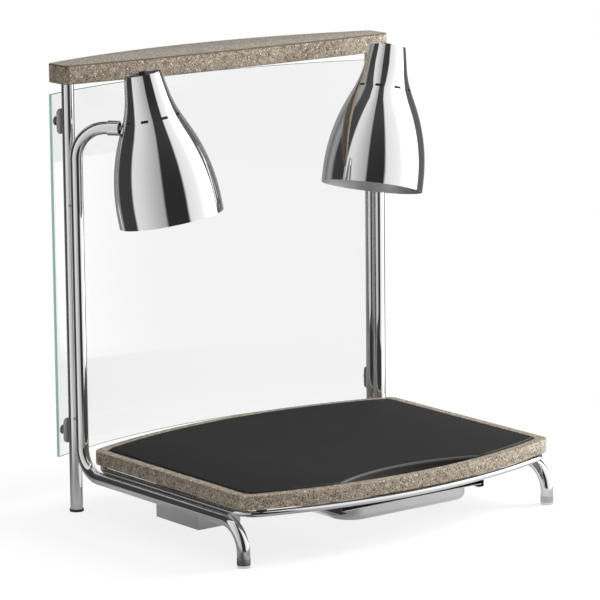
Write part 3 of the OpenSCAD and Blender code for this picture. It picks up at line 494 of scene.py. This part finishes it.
def build_board():
    bm = bmesh.new()
    i, z = BOARD_INSET, BOARD_LOW
    r = BASE_R - i
    start, steps = bowed_steps(BASE_HW - i, BASE_FRONT + i, BASE_REAR - i, r, r, BOARD_CORNER, z)
    # the front edge is drawn in three arcs, the middle one round the finger notch
    cf = BASE_FRONT + BASE_R
    half = NOTCH_W / 2
    ye = cf - math.sqrt(r * r - half * half)
    yn = BASE_FRONT + i + NOTCH_D
    sag = yn - ye
    nr = bow_radius(half, sag)
    total = steps[0][2]
    mid = 2 * math.degrees(math.asin(half / r))
    notch = 2 * math.degrees(math.asin(half / nr))
    side = (total - mid) / 2
    steps = [("arc", (0, cf, z), side, 16), ("arc", (0, yn - nr, z), -notch, 40),
             ("arc", (0, cf, z), side, 16)] + steps[1:]
    plate(bm, start, steps, z, BOARD_TOP)
    face_out(bm)
    grip = [e for e in flat_edges(bm, BOARD_TOP)
            if all(abs(Vector((v.co.x, v.co.y - yn + nr)).length - nr) < 0.1 for v in e.verts)]
    soften(bm, grip, NOTCH_SOFT, 8)
    soften(bm, flat_edges(bm, BOARD_TOP), BOARD_SOFT)
    for f in bm.faces:
        f.material_index = 0 if abs(f.normal.z) > 0.9 else 1
    piece = new_piece("board_slab", bm, "board", [BOARD, BOARD_EDGE])
    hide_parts("carving_board")


def build_tubes():
    for side, s in SIDE.items():
        bm = bmesh.new()
        x = s * TUBE_X
        heading = math.radians(-90 - s * ARM_ANGLE)
        a = Vector((math.cos(heading), math.sin(heading), 0))
        flat = Vector((-a.y, a.x, 0))
        riser = RUNNER_Z + LOW_BEND
        bent_bar(bm, TUBE_R, (x, LEG_Y, FOOT), (0, 0, 1), [
            ("run", (0, 0, RUNNER_Z - LOW_BEND - FOOT)),
            ("bend", (x, LEG_Y + LOW_BEND, RUNNER_Z - LOW_BEND), (1, 0, 0), -90, BEND_STEPS),
            ("run", (0, RISER_Y - LEG_Y - 2 * LOW_BEND, 0)),
            ("bend", (x, RISER_Y - LOW_BEND, riser), (1, 0, 0), 90, BEND_STEPS),
            ("run", (0, 0, ARM_Z - TOP_BEND - riser)),
            ("bend", Vector((x, RISER_Y, ARM_Z - TOP_BEND)) + a * TOP_BEND, flat, 90, BEND_STEPS),
            ("run", a * (ARM_REACH - TOP_BEND))])
        piece = new_piece(side + "_bent_tube", bm, "frame", [CHROME])
        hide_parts(side + "_side_tube")
        bm = bmesh.new()
        bent_bar(bm, TUBE_R, (x, POST_Y, REAR_FOOT), (0, 0, 1), [("run", (0, 0, POST_TOP - REAR_FOOT))])
        piece = new_piece(side + "_upright", bm, "frame", [CHROME])
        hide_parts(side + "_post")


def build_ring():
    bm = bmesh.new()
    cx = BASE_HW - RING_INSET - RING_CORNER
    dy = math.sqrt((BASE_R - RING_INSET - RING_CORNER) ** 2 - cx ** 2)
    cf, cr = BASE_FRONT + BASE_R, BASE_REAR - BASE_R
    yf, yr = cf - dy, cr + dy
    ang = math.degrees(math.atan2(dy, cx))
    up = (0, 0, 1)
    bent_bar(bm, RING_R, (BASE_HW - RING_INSET, yf, RING_Z), (0, 1, 0), [
        ("run", (0, yr - yf, 0)),
        ("bend", (cx, yr, RING_Z), up, ang, 10), ("bend", (0, cr, RING_Z), up, 180 - 2 * ang, BOW_STEPS),
        ("bend", (-cx, yr, RING_Z), up, ang, 10), ("run", (0, yf - yr, 0)),
        ("bend", (-cx, yf, RING_Z), up, ang, 10), ("bend", (0, cf, RING_Z), up, 180 - 2 * ang, BOW_STEPS),
        ("bend", (cx, yf, RING_Z), up, ang, 10)], sides=24, closed=True)
    piece = new_piece("ring_rod", bm, "frame", [CHROME])
    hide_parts("support_ring")


def build_glass():
    bm = bmesh.new()
    half = STUD_ANGLE + math.degrees(GLASS_PAST / GLASS_R)
    r0, r1 = GLASS_R, GLASS_R + GLASS_T
    corners = [(0, GLASS_CY + r0, GLASS_LOW), (0, GLASS_CY + r1, GLASS_LOW),
               (0, GLASS_CY + r1, GLASS_HIGH), (0, GLASS_CY + r0, GLASS_HIGH)]
    verts = [bm.verts.new(c) for c in corners]
    face = bm.faces.new(verts)
    bmesh.ops.rotate(bm, verts=verts, cent=(0, GLASS_CY, 0),
                     matrix=Matrix.Rotation(math.radians(half), 3, "Z"))
    bmesh.ops.spin(bm, geom=[face], cent=(0, GLASS_CY, 0), axis=(0, 0, 1), angle=math.radians(-2 * half),
                   steps=64, use_duplicate=False)
    bmesh.ops.remove_doubles(bm, verts=bm.verts, dist=0.005)
    face_out(bm)
    rim = [e for e in bm.edges if len(e.link_faces) == 2
           and e.link_faces[0].normal.angle(e.link_faces[1].normal) > 1.0]
    soften(bm, rim, GLASS_SOFT, 1)
    # one finish for the pane, one for its upright ends, one for its top and bottom edges
    for f in bm.faces:
        c = f.calc_center_median()
        out = Vector((c.x, c.y - GLASS_CY, 0)).normalized()
        if abs(f.normal.dot(out)) < 0.9:
            f.material_index = 2 if abs(f.normal.z) > 0.5 else 1
    piece = new_piece("guard_pane", bm, "frame", [GLASS, GLASS_END, GLASS_RIM])
    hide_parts("glass_guard")


def shade_outline():
    """Outline of a shade from its rim to its top, in the XZ plane of the lamp: start point and chain."""
    c, s = math.cos(math.radians(CONE_SLOPE)), math.sin(math.radians(CONE_SLOPE))
    ct, st = math.cos(math.radians(NECK_SLOPE)), math.sin(math.radians(NECK_SLOPE))
    cone = (SHADE_R - BELLY_R * (1 - c), SHADE_RIM + BELLY_R * s)
    neck = (cone[0] - CONE_LONG * s, cone[1] + CONE_LONG * c)
    upper = (neck[0] - NECK_R * (ct - c), neck[1] + NECK_R * (s - st))
    tip = (upper[0] - (SHADE_LONG - upper[1]) * st / ct, SHADE_LONG)
    return (SHADE_R, 0, 0), [
        ("to", (SHADE_R, 0, SHADE_RIM)), ("arc", (SHADE_R - BELLY_R, 0, SHADE_RIM), -CONE_SLOPE, 24),
        ("to", (neck[0], 0, neck[1])),
        ("arc", (neck[0] + NECK_R * c, 0, neck[1] + NECK_R * s), CONE_SLOPE - NECK_SLOPE, 30),
        ("to", (tip[0], 0, tip[1]))]


def build_shades():
    for side in SIDE:
        bm = bmesh.new()
        turned(bm, *shade_outline(), SHADE_SIDES)
        cut = []
        for f in bm.faces:
            p = f.calc_center_median()
            if VENT_LOW < p.z < VENT_HIGH:
                a = (math.degrees(math.atan2(p.y, p.x)) - VENT_TURN[side]) % VENT_PITCH
                if min(a, VENT_PITCH - a) < VENT_HALF:
                    cut.append(f)
        bmesh.ops.delete(bm, geom=cut, context="FACES")
        bmesh.ops.recalc_face_normals(bm, faces=bm.faces)
        bmesh.ops.solidify(bm, geom=bm.faces[:], thickness=SHADE_WALL)
        bm.normal_update()
        # chrome outside, satin inside
        for f in bm.faces:
            c = f.calc_center_median()
            f.material_index = 1 if f.normal.x * c.x + f.normal.y * c.y < -1.0 else 0
        bmesh.ops.transform(bm, matrix=lamp_matrix(side), verts=bm.verts)
        piece = new_piece(side + "_shade_skin", bm, side + "_lamp", [CHROME, SATIN])
        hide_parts(side + "_shade")


def build_knobs():
    for side in SIDE:
        for level, z in STUDS.items():
            bm = bmesh.new()
            w, h, r, low = KNOB_HW, KNOB_HH, KNOB_CORNER, KNOB_LOW
            plate(bm, (r - w, -h, low), [
                ("to", (w - r, -h, low)), ("arc", (w - r, r - h, low), 90, CORNER_STEPS),
                ("to", (w, h - r, low)), ("arc", (w - r, h - r, low), 90, CORNER_STEPS),
                ("to", (r - w, h, low)), ("arc", (r - w, h - r, low), 90, CORNER_STEPS),
                ("to", (-w, r - h, low)), ("arc", (r - w, r - h, low), 90, CORNER_STEPS)], low, KNOB_HIGH)
            face_out(bm)
            soften(bm, flat_edges(bm, low) + flat_edges(bm, KNOB_HIGH), KNOB_SOFT, 4)
            bmesh.ops.create_cone(bm, cap_ends=True, segments=48, radius1=HUB_R, radius2=HUB_R,
                                  depth=HUB_LONG, matrix=Matrix.Translation((0, 0, HUB_TOP - HUB_LONG / 2)))
            bm.normal_update()
            soften(bm, flat_edges(bm, HUB_TOP), HUB_SOFT, 4)
            bmesh.ops.transform(bm, matrix=stud_matrix(side, z), verts=bm.verts)
            name = level + "_" + side + "_knob"
            piece = new_piece(name + "_grip", bm, name, [KNOB])
            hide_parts(name)


build_base()
build_header()
build_board()
build_tubes()
build_ring()
build_glass()
build_shades()
build_knobs()


# floor, light and camera, in metres

FLOOR_HALF = 30.0
# section of a studio card from its inner edge on the floor to its leaning top
CARD_LINE = ((0.22, 0, 0.004), (1.35, 0, 0.004), (1.35, 0, 3.4), (0.5, 0, 3.9))
# bearing in degrees and tone, near the object and round the walls
FLOOR_TONES = ((52, 0.22), (110, 0.14), (135, 0.18), (152, 0.42), (172, 0.32), (179.9, 0.26), (180.1, 0.26),
               (198, 0.30), (208, 0.26), (214, 0.10), (219, 0.08), (225, 0.40), (236, 0.34), (250, 0.46),
               (300, 0.78), (340, 0.50), (371, 0.30))
WALL_TONES = ((38, 0.36), (80, 0.36), (90, 0.20), (104, 0.40), (113, 0.34), (120, 0.05), (156, 0.05),
              (160, 0.86), (175, 0.80), (179.9, 0.76), (180.1, 0.76), (200, 0.58), (217, 0.44), (221, 0.03),
              (264, 0.03), (269, 0.90), (300, 1.05), (322, 1.50), (338, 2.80), (351, 3.20), (356, 0.14),
              (380, 0.14), (390, 0.24))
# the camera fitted to the photograph
CAM_PLACE, CAM_AZIMUTH, CAM_ELEVATION, CAM_ROLL = (-3.4614, -4.4960, 1.4433), -37.5, 11.04, -0.56
CAM_SENSOR, CAM_LENS = 36.0, 218.8


def seen_ray(n, l):
    """One for rays from the camera, from metal and through glass, nought for stray light."""
    path = n.new("ShaderNodeLightPath")
    value = path.outputs["Is Camera Ray"]
    for kind in ("Is Glossy Ray", "Is Transmission Ray"):
        both = n.new("ShaderNodeMath")
        both.operation = "MAXIMUM"
        l.new(value, both.inputs[0])
        l.new(path.outputs[kind], both.inputs[1])
        value = both.outputs[0]
    return value


def build_stage():
    bm = bmesh.new()
    bmesh.ops.create_grid(bm, x_segments=1, y_segments=1, size=FLOOR_HALF)
    mesh = bpy.data.meshes.new("floor")
    bm.to_mesh(mesh)
    bm.free()
    floor = bpy.data.objects.new("floor", mesh)
    bpy.context.scene.collection.objects.link(floor)
    m, n, l, s = material("pale_floor")
    s.inputs["Base Color"].default_value = (0.86, 0.86, 0.86, 1)
    s.inputs["Roughness"].default_value = 0.6
    s.inputs["Specular IOR Level"].default_value = 0.2
    # seen directly or in metal and glass, the floor is white with a faint shadow that fades out
    white = n.new("ShaderNodeEmission")
    white.inputs["Color"].default_value = (1, 1, 1, 1)
    tc = n.new("ShaderNodeTexCoord")
    away = n.new("ShaderNodeVectorMath")
    away.operation = "LENGTH"
    fade = n.new("ShaderNodeMapRange")
    fade.interpolation_type = "SMOOTHSTEP"
    fade.inputs["From Min"].default_value = 0.25
    fade.inputs["From Max"].default_value = 1.0
    fade.inputs["To Min"].default_value = 0.82
    fade.inputs["To Max"].default_value = 1.0
    share = n.new("ShaderNodeMath")
    share.operation = "MULTIPLY"
    pick = n.new("ShaderNodeMixShader")
    l.new(tc.outputs["Object"], away.inputs[0])
    l.new(away.outputs["Value"], fade.inputs["Value"])
    l.new(fade.outputs["Result"], share.inputs[0])
    l.new(seen_ray(n, l), share.inputs[1])
    l.new(share.outputs[0], pick.inputs["Fac"])
    l.new(s.outputs[0], pick.inputs[1])
    l.new(white.outputs[0], pick.inputs[2])
    l.new(pick.outputs[0], n["Material Output"].inputs["Surface"])
    mesh.materials.append(m)

    world = bpy.data.worlds.new("studio")
    bpy.context.scene.world = world
    world.use_nodes = True
    wn, wl = world.node_tree.nodes, world.node_tree.links
    soft = wn["Background"]
    soft.inputs["Color"].default_value = (1, 1, 1, 1)
    soft.inputs["Strength"].default_value = 0.55
    white = wn.new("ShaderNodeBackground")
    white.inputs["Color"].default_value = (1, 1, 1, 1)
    white.inputs["Strength"].default_value = 1.0
    pick = wn.new("ShaderNodeMixShader")
    wl.new(seen_ray(wn, wl), pick.inputs["Fac"])
    wl.new(soft.outputs[0], pick.inputs[1])
    wl.new(white.outputs[0], pick.inputs[2])
    wl.new(pick.outputs[0], wn["World Output"].inputs["Surface"])


def area_light(name, place, target, size, watts):
    data = bpy.data.lights.new(name, "AREA")
    data.shape = "RECTANGLE"
    data.size, data.size_y = size
    data.energy = watts
    lamp = bpy.data.objects.new(name, data)
    lamp.location = place
    lamp.rotation_euler = (Vector(target) - Vector(place)).to_track_quat("-Z", "Y").to_euler()
    lamp.visible_glossy = False
    bpy.context.scene.collection.objects.link(lamp)


def card_finish():
    """Tones of the studio by bearing, near the object and further out. Only reflections see them."""
    m, n, l, _ = material("studio_tones")
    tc = n.new("ShaderNodeTexCoord")
    bearing = n.new("ShaderNodeTexGradient")
    bearing.gradient_type = "RADIAL"
    ramps = []
    for ring in (FLOOR_TONES, WALL_TONES):
        ramp = n.new("ShaderNodeValToRGB")
        stops = ramp.color_ramp.elements
        for number, (angle, tone) in enumerate(ring):
            at = (angle + 180) % 360 / 360
            stop = stops[number] if number < 2 else stops.new(at)
            stop.position = at
            stop.color = (tone, tone, tone, 1)
        l.new(bearing.outputs["Fac"], ramp.inputs["Fac"])
        ramps.append(ramp.outputs["Color"])
    high = n.new("ShaderNodeSeparateXYZ")
    haze = n.new("ShaderNodeMapRange")
    haze.inputs["From Min"].default_value = 0.9
    haze.inputs["From Max"].default_value = 2.6
    haze.inputs["To Min"].default_value = 0.0
    haze.inputs["To Max"].default_value = 0.03
    lift = n.new("ShaderNodeMath")
    lift.operation = "ADD"
    away = n.new("ShaderNodeVectorMath")
    away.operation = "LENGTH"
    outward = n.new("ShaderNodeMapRange")
    outward.inputs["From Min"].default_value = 0.50
    outward.inputs["From Max"].default_value = 0.90
    tones = n.new("ShaderNodeMix")
    tones.data_type = "RGBA"
    glow = n.new("ShaderNodeEmission")
    clear = n.new("ShaderNodeBsdfTransparent")
    path = n.new("ShaderNodeLightPath")
    mirrored = n.new("ShaderNodeMath")
    mirrored.operation = "GREATER_THAN"
    mirrored.inputs[1].default_value = 0.5
    pick = n.new("ShaderNodeMixShader")
    l.new(tc.outputs["Object"], bearing.inputs["Vector"])
    l.new(tc.outputs["Object"], high.inputs[0])
    l.new(high.outputs["Z"], haze.inputs["Value"])
    l.new(tc.outputs["Object"], away.inputs[0])
    l.new(away.outputs["Value"], outward.inputs["Value"])
    l.new(outward.outputs["Result"], tones.inputs["Factor"])
    l.new(ramps[0], tones.inputs["A"])
    l.new(ramps[1], tones.inputs["B"])
    l.new(tones.outputs["Result"], lift.inputs[0])
    l.new(haze.outputs["Result"], lift.inputs[1])
    l.new(lift.outputs[0], glow.inputs["Strength"])
    l.new(path.outputs["Glossy Depth"], mirrored.inputs[0])
    l.new(mirrored.outputs[0], pick.inputs["Fac"])
    l.new(clear.outputs[0], pick.inputs[1])
    l.new(glow.outputs[0], pick.inputs[2])
    l.new(pick.outputs[0], n["Material Output"].inputs["Surface"])
    return m


def studio_card(name, start, end, finish):
    """Curved card that lies, stands and leans in over the stage between two bearings."""
    bm = bmesh.new()
    first, *rest = CARD_LINE
    chain(bm, first, [("to", p) for p in rest])
    bmesh.ops.rotate(bm, verts=bm.verts, cent=(0, 0, 0), matrix=Matrix.Rotation(math.radians(start), 3, "Z"))
    bmesh.ops.spin(bm, geom=bm.verts[:] + bm.edges[:], cent=(0, 0, 0), axis=(0, 0, 1),
                   angle=math.radians(end - start), steps=64, use_duplicate=False)
    mesh = bpy.data.meshes.new(name)
    bm.to_mesh(mesh)
    bm.free()
    card = bpy.data.objects.new(name, mesh)
    bpy.context.scene.collection.objects.link(card)
    mesh.materials.append(finish)
    for flag in ("visible_camera", "visible_diffuse", "visible_shadow"):
        setattr(card, flag, False)


build_stage()
area_light("key_softbox", (-0.5, -3.1, 2.4), (0, 0, 0.4), (1.6, 1.6), 8)
area_light("side_softbox", (2.9, -1.0, 1.8), (0, 0, 0.3), (1.2, 1.8), 235)
area_light("top_softbox", (0.2, 0.3, 3.2), (0, 0, 0.2), (2.2, 2.2), 30)
tones = card_finish()
studio_card("front_card", 215, 305, tones)
studio_card("round_card", 305, 575, tones)

azimuth, elevation, roll = (math.radians(a) for a in (CAM_AZIMUTH, CAM_ELEVATION, CAM_ROLL))
back = Vector((math.sin(azimuth) * math.cos(elevation), -math.cos(azimuth) * math.cos(elevation),
               math.sin(elevation)))
right = Vector((math.cos(azimuth), math.sin(azimuth), 0))
up = right.cross(-back)
cam_x = math.cos(roll) * right + math.sin(roll) * up
cam_y = -math.sin(roll) * right + math.cos(roll) * up
cam_data = bpy.data.cameras.new("camera")
cam_data.sensor_width = CAM_SENSOR
cam_data.lens = CAM_LENS
cam_data.clip_end = 100.0
camera = bpy.data.objects.new("camera", cam_data)
camera.matrix_world = Matrix.Translation(CAM_PLACE) @ Matrix((cam_x, cam_y, back)).transposed().to_4x4()
bpy.context.scene.collection.objects.link(camera)
bpy.context.scene.camera = camera
bpy.context.scene.view_settings.view_transform = "Standard"

bpy.context.view_layer.update()
